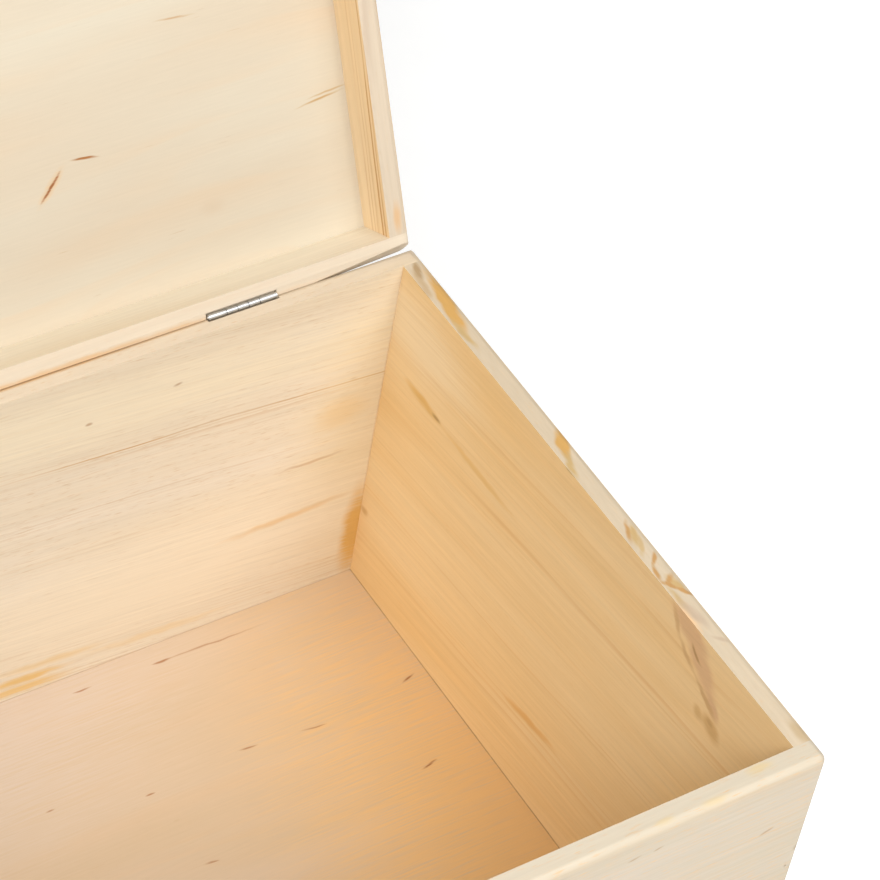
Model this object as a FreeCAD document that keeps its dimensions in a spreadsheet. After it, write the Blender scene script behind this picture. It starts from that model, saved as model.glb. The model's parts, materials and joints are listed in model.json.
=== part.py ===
import FreeCAD, Part
import os
import Sketcher

# A storage box of unfinished pine boards with a hinged lid, in millimetres and degrees.
# Four walls are butted, glued and bradded on a plywood floor. The lid is a shallow frame of four
# rails under a plywood panel, and hangs on two small steel hinges let into the rear faces.
# The origin is the middle of the underside, X runs along the front, Y towards the hinges, Z up.
# The lid stands open, leaning back.

DIMENSIONS = {
    # Box: outside width and depth, height of the walls, thickness of the boards and of the floor
    "box_width": 403.6,
    "box_depth": 303.6,
    "inside_height": 194.0,
    "wall": 10.0,
    "floor_thickness": 4.0,
    # Lid: height of its rails, its panel, its step back from the walls, the joint under its rim
    "lid_inside_depth": 20.8,
    "lid_panel_thickness": 4.0,
    "lid_inset": 1.0,
    "seam_gap": 0.3,
    "lid_open_angle": 117.0,
    # Rounded outer edges of the boards and of the plywood
    "edge_round": 3.5,
    "panel_edge_round": 1.0,
    # Bevels along the rear edges that let the lid lean back: steep next to the rear faces, then flat
    "rear_edge_run": 2.35,
    "rear_edge_drop": 3.66,
    "rear_bevel_run": 1.85,
    "rear_bevel_drop": 0.77,
    "lid_edge_run": 2.0,
    "lid_edge_rise": 3.46,
    "lid_bevel_middle_run": 3.4,
    "lid_bevel_end_run": 6.0,
    "lid_bevel_rise_share": 0.2,
    "lid_end_cut_length": 46.8,
    "lid_end_cut_start_run": 2.3,
    "lid_end_cut_rise_share": 1.19,
    # Hinges: place along the box, leaves, barrel and pin
    "hinge_end_distance": 83.8,
    "hinge_length": 32.5,
    "leaf_thickness": 0.8,
    "leaf_reach": 13.0,
    "leaf_start": 2.45,
    "leaf_corner_round": 2.0,
    "barrel_diameter": 2.8,
    "end_knuckle_length": 8.4,
    "knuckle_gap": 0.3,
    "pin_diameter": 1.4,
    "pin_clearance": 0.05,
    "pin_proud": 0.35,
    "pin_end_round": 0.3,
    # Cuts in the rear boards: the gains that the leaves are let into, and the notches for the barrels
    "leaf_gain": 1.8,
    "leaf_room": 0.3,
    "notch_depth": 4.5,
    "notch_end_room": 0.6,
    # Countersunk screws of the hinges
    "screw_length": 7.0,
    "screw_shank_diameter": 2.0,
    "screw_head_diameter": 3.4,
    "screw_tip_length": 1.5,
    "screw_slot_width": 0.5,
    "screw_slot_depth": 0.45,
    "screw_slot_length": 2.2,
    "screw_spacing": 20.0,
    "screw_reach": 8.2,
    # Brads of the corners and of the panels, driven below the surface
    "brad_diameter": 1.2,
    "brad_tip_length": 1.6,
    "brad_set": 0.6,
    "corner_brad_length": 22.0,
    "panel_brad_length": 14.0,
    # Room around a driven fastener, and how far a cut runs past the face it opens
    "fit_clearance": 0.03,
    "tip_room": 0.4,
    "overrun": 1.0,
}

# Places of the brads as shares of the wall's height, the rail's height and the side's length
CORNER_BRAD_HEIGHT_SHARES = (0.18, 0.42, 0.66)
LID_BRAD_HEIGHT_SHARES = (0.45, 0.75)
LONG_SIDE_BRAD_SHARES = (-0.4, -0.2, 0.0, 0.2, 0.4)
SHORT_SIDE_BRAD_SHARES = (-0.35, 0.0, 0.35)

SIDES = (1, -1)
ON_PLANE = 1e-6

doc = FreeCAD.newDocument("pine_box")
sizes = doc.addObject("Spreadsheet::Sheet", "Sizes")
for row, (name, number) in enumerate(DIMENSIONS.items(), start=1):
    sizes.set(f"A{row}", str(number))
    sizes.setAlias(f"A{row}", name)
doc.recompute()

# Sizes worked out from the driving dimensions, as expressions on the sheet
RIM = "(Sizes.floor_thickness + Sizes.inside_height)"
SIDE_WALL_LENGTH = "(Sizes.box_depth - 2 * Sizes.wall)"
LID_WIDTH = "(Sizes.box_width - 2 * Sizes.lid_inset)"
LID_DEPTH = "(Sizes.box_depth - Sizes.lid_inset)"
LID_SIDE_LENGTH = f"({LID_DEPTH} - 2 * Sizes.wall)"
LID_MIDDLE = "(Sizes.lid_inset / 2)"
LID_RIM = f"({RIM} + Sizes.seam_gap)"
LID_PANEL_UNDERSIDE = f"({LID_RIM} + Sizes.lid_inside_depth)"
LID_TOP = f"({LID_PANEL_UNDERSIDE} + Sizes.lid_panel_thickness)"
BARREL_RADIUS = "(Sizes.barrel_diameter / 2)"
HINGE_X = "(Sizes.box_width / 2 - Sizes.hinge_end_distance)"
HINGE_Y = f"(Sizes.box_depth / 2 - Sizes.leaf_gain + Sizes.leaf_thickness - {BARREL_RADIUS})"
HINGE_Z = f"({RIM} + Sizes.seam_gap / 2)"
NOTCH_HEIGHT = "(Sizes.leaf_start - Sizes.seam_gap / 2)"
GAIN_HEIGHT = "(Sizes.leaf_reach - Sizes.seam_gap / 2 + Sizes.leaf_room)"
SCREW_DROP = "(Sizes.screw_reach - Sizes.seam_gap / 2)"
PILOT_DEPTH = "(Sizes.leaf_gain + Sizes.screw_length - Sizes.leaf_thickness + Sizes.tip_room)"
PILOT_DIAMETER = "(Sizes.screw_shank_diameter + 2 * Sizes.fit_clearance)"
BRAD_HOLE = "(Sizes.brad_diameter + 2 * Sizes.fit_clearance)"
CORNER_HOLE_DEPTH = "(Sizes.brad_set + Sizes.corner_brad_length - Sizes.wall + Sizes.tip_room)"
BRAD_REACH = "(Sizes.brad_set + Sizes.panel_brad_length + Sizes.tip_room)"
FLOOR_HOLE_DEPTH = f"({BRAD_REACH} - Sizes.floor_thickness)"
LID_HOLE_DEPTH = f"({BRAD_REACH} - Sizes.lid_panel_thickness)"
SWING = (f"placement(vector(0; 0; 0); rotation(vector(1; 0; 0); -Sizes.lid_open_angle); "
         f"vector(0; {HINGE_Y}; {HINGE_Z}))")


def number_of(expression):
    return float(sizes.evalExpression(expression))


def times(share, expression):
    return f"({share} * {expression})"


# Tools of the bench: sketches, cuts, rounded edges and places

def new_body(label):
    body = doc.addObject("PartDesign::Body", label)
    body.Label = label
    return body


def new_sketch(body, role, offset="0"):
    plane = next(feature for feature in body.Origin.OriginFeatures if feature.Role == role)
    sketch = body.newObject("Sketcher::SketchObject", f"{body.Label}_sketch")
    sketch.AttachmentSupport = (plane, [""])
    sketch.MapMode = "FlatFace"
    sketch.setExpression("AttachmentOffset.Base.z", offset)
    return sketch


def pin_point(sketch, geometry, vertex, x, y):
    # Holds a point of the sketch at its two expressions, or on an axis where one is zero
    for kind, axis, expression in (("DistanceX", -2, x), ("DistanceY", -1, y)):
        if expression == "0":
            sketch.addConstraint(Sketcher.Constraint("PointOnObject", geometry, vertex, axis))
        else:
            held = Sketcher.Constraint(kind, -1, 1, geometry, vertex, number_of(expression))
            sketch.setExpression(f"Constraints[{sketch.addConstraint(held)}]", expression)


def add_polygon(sketch, corners):
    points = [FreeCAD.Vector(number_of(x), number_of(y), 0) for x, y in corners]
    first = len(sketch.Geometry)
    lines = [first + step for step in range(len(points))]
    for start, end in zip(points, points[1:] + points[:1]):
        sketch.addGeometry(Part.LineSegment(start, end), False)
    for line, following in zip(lines, lines[1:] + lines[:1]):
        sketch.addConstraint(Sketcher.Constraint("Coincident", line, 2, following, 1))
    for line, (x, y) in zip(lines, corners):
        pin_point(sketch, line, 1, x, y)


def add_rectangle(sketch, left, right, bottom, top):
    add_polygon(sketch, [(left, bottom), (right, bottom), (right, top), (left, top)])


def add_circle(sketch, x, y, diameter):
    centre = FreeCAD.Vector(number_of(x), number_of(y), 0)
    upright = FreeCAD.Vector(0, 0, 1)
    circle = sketch.addGeometry(Part.Circle(centre, upright, number_of(diameter) / 2), False)
    pin_point(sketch, circle, 3, x, y)
    held = Sketcher.Constraint("Diameter", circle, number_of(diameter))
    sketch.setExpression(f"Constraints[{sketch.addConstraint(held)}]", diameter)


def pad(body, sketch, length, both_ways=False):
    feature = body.newObject("PartDesign::Pad", f"{body.Label}_pad")
    feature.Profile = sketch
    feature.setExpression("Length", length)
    feature.Midplane = both_ways
    doc.recompute()


def cut(body, sketch, depth, reverse=False, both_ways=False):
    before = body.Shape.Volume
    feature = body.newObject("PartDesign::Pocket", f"{body.Label}_cut")
    feature.Profile = sketch
    feature.setExpression("Length", depth)
    feature.Reversed = reverse
    feature.Midplane = both_ways
    doc.recompute()
    if not body.Shape.Volume < before:
        raise ValueError(f"a cut in {body.Label} removes nothing")


def drill(body, role, places, diameter, depth, offset="0", reverse=False):
    sketch = new_sketch(body, role, offset)
    for x, y in places:
        add_circle(sketch, x, y, diameter)
    cut(body, sketch, depth, reverse)


def edges_between(shape, on, off):
    # Names of the edges that lie in one of the planes in on and in none of those in off,
    # each plane the letter of its axis and an expression
    def in_plane(edge, plane):
        axis, expression = plane
        place = number_of(expression)
        return all(abs(getattr(vertex.Point, axis) - place) < ON_PLANE for vertex in edge.Vertexes)

    return [f"Edge{order}" for order, edge in enumerate(shape.Edges, start=1)
            if any(in_plane(edge, plane) for plane in on)
            and not any(in_plane(edge, plane) for plane in off)]


def dress(body, kind, measure, size, on, off):
    # Rounds or bevels the chosen edges of what the body is so far
    base = body.Tip
    names = edges_between(base.Shape, on, off)
    feature = body.newObject(f"PartDesign::{kind}", f"{body.Label}_{kind.lower()}")
    feature.Base = (base, names)
    feature.setExpression(measure, size)
    doc.recompute()


def round_edges(body, on, off, radius="Sizes.edge_round"):
    dress(body, "Fillet", "Radius", radius, on, off)


def place(x, y, z, axis="0; 0; 1", angle=0, on_lid=False):
    here = f"placement(vector({x}; {y}; {z}); rotation(vector({axis}); {angle}))"
    return f"{SWING} * {here}" if on_lid else here


def end_planes(half_length):
    # The planes of the two ends of a piece that lies along X about its middle
    return [("x", f"({side} * {half_length})") for side in SIDES]


# Boards: each stands in its own frame with its outer face on the XZ plane and its inside
# towards +Y, lengthwise along X, and is then turned into its place around the box

OUTER_FACE = ("y", "0")
INNER_FACE = ("y", "Sizes.wall")
LOWER_EDGE = ("z", "0")


def stand_board(label, length, height):
    body = new_body(label)
    footprint = new_sketch(body, "XY_Plane")
    add_rectangle(footprint, f"-{length} / 2", f"{length} / 2", "0", "Sizes.wall")
    pad(body, footprint, height)
    return body


def drill_face_for_brads(body, length, heights):
    # Through the face near both ends, over the middle of the boards that butt against it
    reach = f"({length} / 2 - Sizes.wall / 2)"
    places = [(f"{side} * {reach}", height) for side in SIDES for height in heights]
    drill(body, "XZ_Plane", places, BRAD_HOLE, "Sizes.wall + Sizes.overrun")


def drill_ends_for_brads(body, length, heights):
    places = [("Sizes.wall / 2", height) for height in heights]
    for side in SIDES:
        drill(body, "YZ_Plane", places, BRAD_HOLE, CORNER_HOLE_DEPTH,
              offset=f"{side} * {length} / 2", reverse=side < 0)


def drill_edge_for_brads(body, length, shares, height, depth, reverse):
    # Into the edge that a plywood panel covers, along the middle of the board
    places = [(times(share, length) if share else "0", "Sizes.wall / 2") for share in shares]
    drill(body, "XY_Plane", places, BRAD_HOLE, depth, offset=height, reverse=reverse)


def cut_for_hinges(body, edge, way, screw_height):
    # Gains for the two leaves and notches for the barrels, from an edge of the board the way its
    # leaf lies, and pilot holes for the screws
    for room, height, depth in (("Sizes.leaf_room", GAIN_HEIGHT, "Sizes.leaf_gain"),
                                ("Sizes.notch_end_room", NOTCH_HEIGHT, "Sizes.notch_depth")):
        recess = new_sketch(body, "XZ_Plane")
        half = f"(Sizes.hinge_length / 2 + {room})"
        for side in SIDES:
            add_rectangle(recess, f"{side} * {HINGE_X} - {half}", f"{side} * {HINGE_X} + {half}",
                          f"{edge} - {way} * Sizes.overrun", f"{edge} + {way} * {height}")
        cut(body, recess, depth)
    places = [(f"{side} * {HINGE_X} + {end} * Sizes.screw_spacing / 2", screw_height)
              for side in SIDES for end in SIDES]
    drill(body, "XZ_Plane", places, PILOT_DIAMETER, PILOT_DEPTH)


corner_heights = [times(share, "Sizes.inside_height") for share in CORNER_BRAD_HEIGHT_SHARES]
lid_heights = [times(share, "Sizes.lid_inside_depth") for share in LID_BRAD_HEIGHT_SHARES]
box_ends = end_planes("Sizes.box_width / 2")
lid_ends = end_planes(f"{LID_WIDTH} / 2")
parts = []


# Front wall: full width, so that it covers the ends of the side walls

front_wall = stand_board("front_wall", "Sizes.box_width", "Sizes.inside_height")
round_edges(front_wall, on=[OUTER_FACE, ("z", "Sizes.inside_height"), *box_ends],
            off=[LOWER_EDGE, INNER_FACE])
drill_face_for_brads(front_wall, "Sizes.box_width", corner_heights)
drill_edge_for_brads(front_wall, "Sizes.box_width", LONG_SIDE_BRAD_SHARES,
                     "0", FLOOR_HOLE_DEPTH, reverse=True)
front_wall.setExpression("Placement", place("0", "-Sizes.box_depth / 2", "Sizes.floor_thickness"))
parts.append(front_wall)


# Rear wall: the same board with a bevelled rear top edge and the cuts for the hinges

rear_wall = stand_board("rear_wall", "Sizes.box_width", "Sizes.inside_height")
round_edges(rear_wall, on=[OUTER_FACE, ("z", "Sizes.inside_height"), *box_ends],
            off=[LOWER_EDGE, INNER_FACE])
STEEP = "(Sizes.rear_edge_drop / Sizes.rear_edge_run)"
SHALLOW = "(Sizes.rear_bevel_drop / Sizes.rear_bevel_run)"
BEVEL_KNEE = "(Sizes.inside_height - Sizes.rear_bevel_drop)"
bevel = new_sketch(rear_wall, "YZ_Plane")
add_polygon(bevel, [
    ("-Sizes.overrun", f"{BEVEL_KNEE} - {STEEP} * (Sizes.rear_edge_run + Sizes.overrun)"),
    ("Sizes.rear_edge_run", BEVEL_KNEE),
    (f"Sizes.rear_edge_run + Sizes.rear_bevel_run + Sizes.overrun / {SHALLOW}",
     "Sizes.inside_height + Sizes.overrun"),
    ("-Sizes.overrun", "Sizes.inside_height + Sizes.overrun")])
cut(rear_wall, bevel, "Sizes.box_width + Sizes.overrun", both_ways=True)
drill_face_for_brads(rear_wall, "Sizes.box_width", corner_heights)
drill_edge_for_brads(rear_wall, "Sizes.box_width", LONG_SIDE_BRAD_SHARES,
                     "0", FLOOR_HOLE_DEPTH, reverse=True)
cut_for_hinges(rear_wall, "Sizes.inside_height", -1, f"Sizes.inside_height - {SCREW_DROP}")
rear_wall.setExpression("Placement", place("0", "Sizes.box_depth / 2", "Sizes.floor_thickness",
                                           angle=180))
parts.append(rear_wall)


# Side walls: butted between the front and the rear wall

side_wall_ends = end_planes(f"{SIDE_WALL_LENGTH} / 2")
for label, side in (("right_wall", 1), ("left_wall", -1)):
    side_wall = stand_board(label, SIDE_WALL_LENGTH, "Sizes.inside_height")
    round_edges(side_wall, on=[OUTER_FACE], off=[LOWER_EDGE, *side_wall_ends])
    drill_ends_for_brads(side_wall, SIDE_WALL_LENGTH, corner_heights)
    drill_edge_for_brads(side_wall, SIDE_WALL_LENGTH, SHORT_SIDE_BRAD_SHARES,
                         "0", FLOOR_HOLE_DEPTH, reverse=True)
    side_wall.setExpression("Placement", place(f"{side} * Sizes.box_width / 2", "0",
                                               "Sizes.floor_thickness", angle=90 * side))
    parts.append(side_wall)


# Plywood panels: the floor under the walls and the top of the lid, bradded all round

def brad_places(width, depth):
    # Over the middle of the boards under a panel of this size, from its centre
    front = f"({depth} / 2 - Sizes.wall / 2)"
    flank = f"({width} / 2 - Sizes.wall / 2)"
    inside = f"({depth} - 2 * Sizes.wall)"
    along = [(times(share, width) if share else "0", f"{side} * {front}")
             for side in SIDES for share in LONG_SIDE_BRAD_SHARES]
    across = [(f"{side} * {flank}", times(share, inside) if share else "0")
              for side in SIDES for share in SHORT_SIDE_BRAD_SHARES]
    return along + across


def plywood_panel(label, width, depth, thickness, glued_face, open_face):
    body = new_body(label)
    outline = new_sketch(body, "XY_Plane")
    add_rectangle(outline, f"-{width} / 2", f"{width} / 2", f"-{depth} / 2", f"{depth} / 2")
    pad(body, outline, thickness)
    faces = [(axis, f"{side} * {length} / 2") for axis, length in (("x", width), ("y", depth))
             for side in SIDES]
    round_edges(body, on=faces, off=[glued_face, open_face])
    round_edges(body, on=[open_face], off=[], radius="Sizes.panel_edge_round")
    drill(body, "XY_Plane", brad_places(width, depth), BRAD_HOLE, thickness, reverse=True)
    parts.append(body)
    return body


floor_panel = plywood_panel("floor_panel", "Sizes.box_width", "Sizes.box_depth",
                            "Sizes.floor_thickness", glued_face=("z", "Sizes.floor_thickness"),
                            open_face=("z", "0"))


# Lid frame: four rails cut from the same boards, joined like the walls

RAIL_TOP = ("z", "Sizes.lid_inside_depth")
LID_FRONT = f"({LID_MIDDLE} - {LID_DEPTH} / 2)"
lid_front_rail = stand_board("lid_front_rail", LID_WIDTH, "Sizes.lid_inside_depth")
round_edges(lid_front_rail, on=[OUTER_FACE, LOWER_EDGE, *lid_ends], off=[RAIL_TOP, INNER_FACE])
lid_front_rail.setExpression("Placement", place("0", LID_FRONT, LID_RIM, on_lid=True))

# The rear rail's lower rear edge is bevelled: steep next to the rear face, then flat, deepest at
# its ends and shallow in the middle, and near its ends it is sanded off more
lid_rear_rail = stand_board("lid_rear_rail", LID_WIDTH, "Sizes.lid_inside_depth")
round_edges(lid_rear_rail, on=[OUTER_FACE, LOWER_EDGE, *lid_ends], off=[RAIL_TOP, INNER_FACE])
RAIL_STEEP = "(Sizes.lid_edge_rise / Sizes.lid_edge_run)"
bevel = new_sketch(lid_rear_rail, "YZ_Plane")
add_polygon(bevel, [
    ("-Sizes.overrun", "-Sizes.overrun"),
    (f"Sizes.lid_edge_run + Sizes.overrun / {RAIL_STEEP}", "-Sizes.overrun"),
    ("-Sizes.overrun", f"Sizes.lid_edge_rise + Sizes.overrun * {RAIL_STEEP}")])
cut(lid_rear_rail, bevel, f"{LID_WIDTH} + Sizes.overrun", both_ways=True)
RAIL_END = f"({LID_WIDTH} / 2)"
PAST_END = f"({RAIL_END} + Sizes.overrun)"
BEVEL_REACH = "(Sizes.lid_bevel_end_run + Sizes.overrun)"
for start, start_run, rise_share in (
        ("0", "Sizes.lid_bevel_middle_run", "Sizes.lid_bevel_rise_share"),
        (f"({RAIL_END} - Sizes.lid_end_cut_length)", "Sizes.lid_end_cut_start_run",
         "Sizes.lid_end_cut_rise_share")):
    lean = f"atan({rise_share})"
    growth = f"(Sizes.lid_bevel_end_run - {start_run}) / ({RAIL_END} - {start})"
    past_end_run = f"({start_run} + {growth} * ({PAST_END} - {start}))"
    for half_turn in (0, 180):
        # A wedge that leans with the bevel and deepens along its own Y, from its start past one end
        wedge = lid_rear_rail.newObject("PartDesign::SubtractiveWedge", "lid_rear_rail_bevel")
        for size, expression in (("Ymin", start), ("Ymax", PAST_END),
                                 ("Xmin", "-Sizes.overrun"), ("X2min", "-Sizes.overrun"),
                                 ("Xmax", f"{start_run} * sin({lean})"),
                                 ("X2max", f"{past_end_run} * sin({lean})"),
                                 ("Zmin", f"-{BEVEL_REACH}"), ("Z2min", f"-{BEVEL_REACH}"),
                                 ("Zmax", BEVEL_REACH), ("Z2max", BEVEL_REACH)):
            wedge.setExpression(size, expression)
        leaning = place("0", "0", "0", axis="1; 0; 0", angle=f"-{lean}")
        half = place("0", "0", "0", angle=half_turn)
        along_rail = place("0", "0", "0", axis="1; 1; 1", angle=-120)
        wedge.setExpression("Placement", f"{leaning} * {half} * {along_rail}")
        doc.recompute()
cut_for_hinges(lid_rear_rail, "0", 1, SCREW_DROP)
lid_rear_rail.setExpression("Placement", place("0", "Sizes.box_depth / 2", LID_RIM, angle=180,
                                               on_lid=True))

for rail in (lid_front_rail, lid_rear_rail):
    drill_face_for_brads(rail, LID_WIDTH, lid_heights)
    drill_edge_for_brads(rail, LID_WIDTH, LONG_SIDE_BRAD_SHARES,
                         "Sizes.lid_inside_depth", LID_HOLE_DEPTH, reverse=False)
    parts.append(rail)

lid_side_ends = end_planes(f"{LID_SIDE_LENGTH} / 2")
for label, side in (("lid_right_rail", 1), ("lid_left_rail", -1)):
    side_rail = stand_board(label, LID_SIDE_LENGTH, "Sizes.lid_inside_depth")
    round_edges(side_rail, on=[OUTER_FACE], off=[RAIL_TOP, *lid_side_ends])
    drill_ends_for_brads(side_rail, LID_SIDE_LENGTH, lid_heights)
    drill_edge_for_brads(side_rail, LID_SIDE_LENGTH, SHORT_SIDE_BRAD_SHARES,
                         "Sizes.lid_inside_depth", LID_HOLE_DEPTH, reverse=False)
    side_rail.setExpression("Placement", place(f"{side} * {LID_WIDTH} / 2", LID_MIDDLE, LID_RIM,
                                               angle=90 * side, on_lid=True))
    parts.append(side_rail)

lid_panel = plywood_panel("lid_panel", LID_WIDTH, LID_DEPTH, "Sizes.lid_panel_thickness",
                          glued_face=("z", "0"), open_face=("z", "Sizes.lid_panel_thickness"))
lid_panel.setExpression("Placement", place("0", LID_MIDDLE, LID_PANEL_UNDERSIDE, on_lid=True))


# Hinges: leaves of rolled sheet steel, let into the rear faces, with the barrel turned into the notches.
# In its own frame the pin's axis is X, the leaves' outer faces touch the barrel's +Y side, the
# box's leaf hangs down and the lid's leaf stands up. Three knuckles are the box's, two the lid's.

HALF_HINGE = "(Sizes.hinge_length / 2)"
INNER_KNUCKLE = "((Sizes.hinge_length - 2 * Sizes.end_knuckle_length) / 3)"
HALF_GAP = "(Sizes.knuckle_gap / 2)"
OUTER_JOINT = f"({HALF_HINGE} - Sizes.end_knuckle_length)"
INNER_JOINT = f"({INNER_KNUCKLE} / 2)"
BOX_KNUCKLES = [(f"-{HALF_HINGE} - Sizes.overrun", f"-{OUTER_JOINT}"),
                (f"-{INNER_JOINT}", INNER_JOINT),
                (OUTER_JOINT, f"{HALF_HINGE} + Sizes.overrun")]
LID_KNUCKLES = [(f"-{OUTER_JOINT}", f"-{INNER_JOINT}"), (INNER_JOINT, OUTER_JOINT)]
THROUGH_HINGE = "2 * (Sizes.barrel_diameter + Sizes.overrun)"


def hinge_leaf(label, way, other_knuckles, at, on_lid):
    # The leaf lies on the way side of the pin, -1 down or 1 up, and gives room to the knuckles
    # of the other leaf
    body = new_body(label)
    plate = new_sketch(body, "YZ_Plane")
    add_rectangle(plate, f"{BARREL_RADIUS} - Sizes.leaf_thickness", BARREL_RADIUS,
                  "0", f"{way} * Sizes.leaf_reach")
    pad(body, plate, "Sizes.hinge_length", both_ways=True)
    round_edges(body, on=end_planes(HALF_HINGE),
                off=[("y", BARREL_RADIUS), ("y", f"{BARREL_RADIUS} - Sizes.leaf_thickness"), ("z", "0")],
                radius="Sizes.leaf_corner_round")
    barrel = new_sketch(body, "YZ_Plane")
    add_circle(barrel, "0", "0", "Sizes.barrel_diameter")
    pad(body, barrel, "Sizes.hinge_length", both_ways=True)
    bore = new_sketch(body, "YZ_Plane")
    add_circle(bore, "0", "0", "Sizes.pin_diameter + 2 * Sizes.pin_clearance")
    cut(body, bore, "Sizes.hinge_length + Sizes.overrun", both_ways=True)
    slots = new_sketch(body, "XZ_Plane")
    for left, right in other_knuckles:
        add_rectangle(slots, f"{left} - {HALF_GAP}", f"{right} + {HALF_GAP}",
                      f"{way} * Sizes.leaf_start", f"{-way} * Sizes.barrel_diameter")
    cut(body, slots, THROUGH_HINGE, both_ways=True)
    countersink_for_screws(body, way)
    body.setExpression("Placement", place(at, HINGE_Y, HINGE_Z, on_lid=on_lid))
    parts.append(body)


def countersink_for_screws(body, way):
    places = [(f"{side} * Sizes.screw_spacing / 2", f"{way} * Sizes.screw_reach") for side in SIDES]
    drill(body, "XZ_Plane", places, PILOT_DIAMETER, THROUGH_HINGE)
    mouth = ("y", BARREL_RADIUS)
    base = body.Tip
    names = [name for name in edges_between(base.Shape, on=[mouth], off=[])
             if base.Shape.getElement(name).Curve.TypeId == "Part::GeomCircle"
             and base.Shape.getElement(name).Closed]
    feature = body.newObject("PartDesign::Chamfer", f"{body.Label}_countersink")
    feature.Base = (base, names)
    feature.setExpression("Size", "(Sizes.screw_head_diameter - Sizes.screw_shank_diameter) / 2")
    doc.recompute()


def hinge_pin(label, at):
    body = new_body(label)
    section = new_sketch(body, "YZ_Plane")
    add_circle(section, "0", "0", "Sizes.pin_diameter")
    length = "(Sizes.hinge_length + 2 * Sizes.pin_proud)"
    pad(body, section, length, both_ways=True)
    round_edges(body, on=end_planes(f"{length} / 2"), off=[], radius="Sizes.pin_end_round")
    body.setExpression("Placement", place(at, HINGE_Y, HINGE_Z))
    parts.append(body)


for hand, side in (("right", 1), ("left", -1)):
    hinge_at = f"{side} * {HINGE_X}"
    hinge_leaf(f"{hand}_hinge_box_leaf", -1, LID_KNUCKLES, hinge_at, on_lid=False)
    hinge_leaf(f"{hand}_hinge_lid_leaf", 1, BOX_KNUCKLES, hinge_at, on_lid=True)
    hinge_pin(f"{hand}_hinge_pin", hinge_at)


# Fasteners: one of each kind is turned about Z, head on the XY plane and tip up, and copied

def turned_pin(label, profile):
    body = new_body(label)
    sketch = new_sketch(body, "XZ_Plane")
    add_polygon(sketch, profile)
    feature = body.newObject("PartDesign::Revolution", f"{label}_turning")
    feature.Profile = sketch
    feature.ReferenceAxis = (sketch, ["V_Axis"])
    feature.Angle = 360
    doc.recompute()
    return body


def brad(label, length):
    radius = "Sizes.brad_diameter / 2"
    return turned_pin(label, [("0", "0"), (radius, "0"),
                              (radius, f"{length} - Sizes.brad_tip_length"), ("0", length)])


corner_brad = brad("corner_brad", "Sizes.corner_brad_length")
panel_brad = brad("panel_brad", "Sizes.panel_brad_length")

shank = "Sizes.screw_shank_diameter / 2"
head = "Sizes.screw_head_diameter / 2"
hinge_screw = turned_pin("hinge_screw", [("0", "0"), (head, "0"), (shank, f"{head} - {shank}"),
                                         (shank, "Sizes.screw_length - Sizes.screw_tip_length"),
                                         ("0", "Sizes.screw_length")])
for across, along in (("length", "width"), ("width", "length")):
    slot = new_sketch(hinge_screw, "XY_Plane")
    half_across = f"Sizes.screw_slot_{across} / 2"
    half_along = f"Sizes.screw_slot_{along} / 2"
    add_rectangle(slot, f"-{half_across}", half_across, f"-{half_along}", half_along)
    cut(hinge_screw, slot, "Sizes.screw_slot_depth", reverse=True)


def group(label, fastener, placements):
    copies = []
    for order, placement in enumerate(placements, start=1):
        copy = doc.addObject("App::Link", f"{label}_{order}")
        copy.LinkedObject = fastener
        copy.setExpression("Placement", placement)
        copies.append(copy)
    compound = doc.addObject("Part::Compound", label)
    compound.Label = label
    compound.Links = copies
    parts.append(compound)


def corner_places(width, face, heights, base, inward, on_lid=False):
    # Driven along Y through a wall or rail near both ends, inward 1 from the front, -1 from the rear
    reach = f"({width} / 2 - Sizes.wall / 2)"
    return [place(f"{side} * {reach}", f"{face} + {inward} * Sizes.brad_set", f"{base} + {height}",
                  axis="1; 0; 0", angle=-90 * inward, on_lid=on_lid)
            for side in SIDES for height in heights]


def screw_places(way, on_lid):
    return [place(f"{side} * {HINGE_X} + {end} * Sizes.screw_spacing / 2",
                  f"{HINGE_Y} + {BARREL_RADIUS}", f"{HINGE_Z} + {way} * Sizes.screw_reach",
                  axis="1; 0; 0", angle=90, on_lid=on_lid)
            for side in SIDES for end in SIDES]


group("front_corner_brads", corner_brad,
      corner_places("Sizes.box_width", "-Sizes.box_depth / 2", corner_heights,
                    "Sizes.floor_thickness", 1))
group("rear_corner_brads", corner_brad,
      corner_places("Sizes.box_width", "Sizes.box_depth / 2", corner_heights,
                    "Sizes.floor_thickness", -1))
group("lid_corner_brads", corner_brad,
      corner_places(LID_WIDTH, LID_FRONT, lid_heights, LID_RIM, 1, on_lid=True)
      + corner_places(LID_WIDTH, "Sizes.box_depth / 2", lid_heights, LID_RIM, -1, on_lid=True))
group("floor_brads", panel_brad,
      [place(x, y, "Sizes.brad_set") for x, y in brad_places("Sizes.box_width", "Sizes.box_depth")])
group("lid_panel_brads", panel_brad,
      [place(x, f"{LID_MIDDLE} + {y}", f"{LID_TOP} - Sizes.brad_set", axis="1; 0; 0", angle=180,
             on_lid=True) for x, y in brad_places(LID_WIDTH, LID_DEPTH)])
group("box_hinge_screws", hinge_screw, screw_places(-1, on_lid=False))
group("lid_hinge_screws", hinge_screw, screw_places(1, on_lid=True))

doc.recompute()
for item in doc.Objects:
    if {"Invalid", "Error"} & set(item.State):
        raise ValueError(f"{item.Label} failed: {item.State}")
for part in parts:
    if part.Shape.isNull() or not part.Shape.isValid():
        raise ValueError(f"{part.Label} has no valid shape")

os.makedirs("parts", exist_ok=True)
for part in parts:
    part.Shape.exportStep(f"parts/{part.Label}.step")
    print(part.Label, len(part.Shape.Solids), round(part.Shape.Volume, 1))
print("hinge axis", number_of(HINGE_Y), number_of(HINGE_Z))
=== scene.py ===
import json
import math

import bpy
from mathutils import Euler, Matrix, Vector


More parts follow.
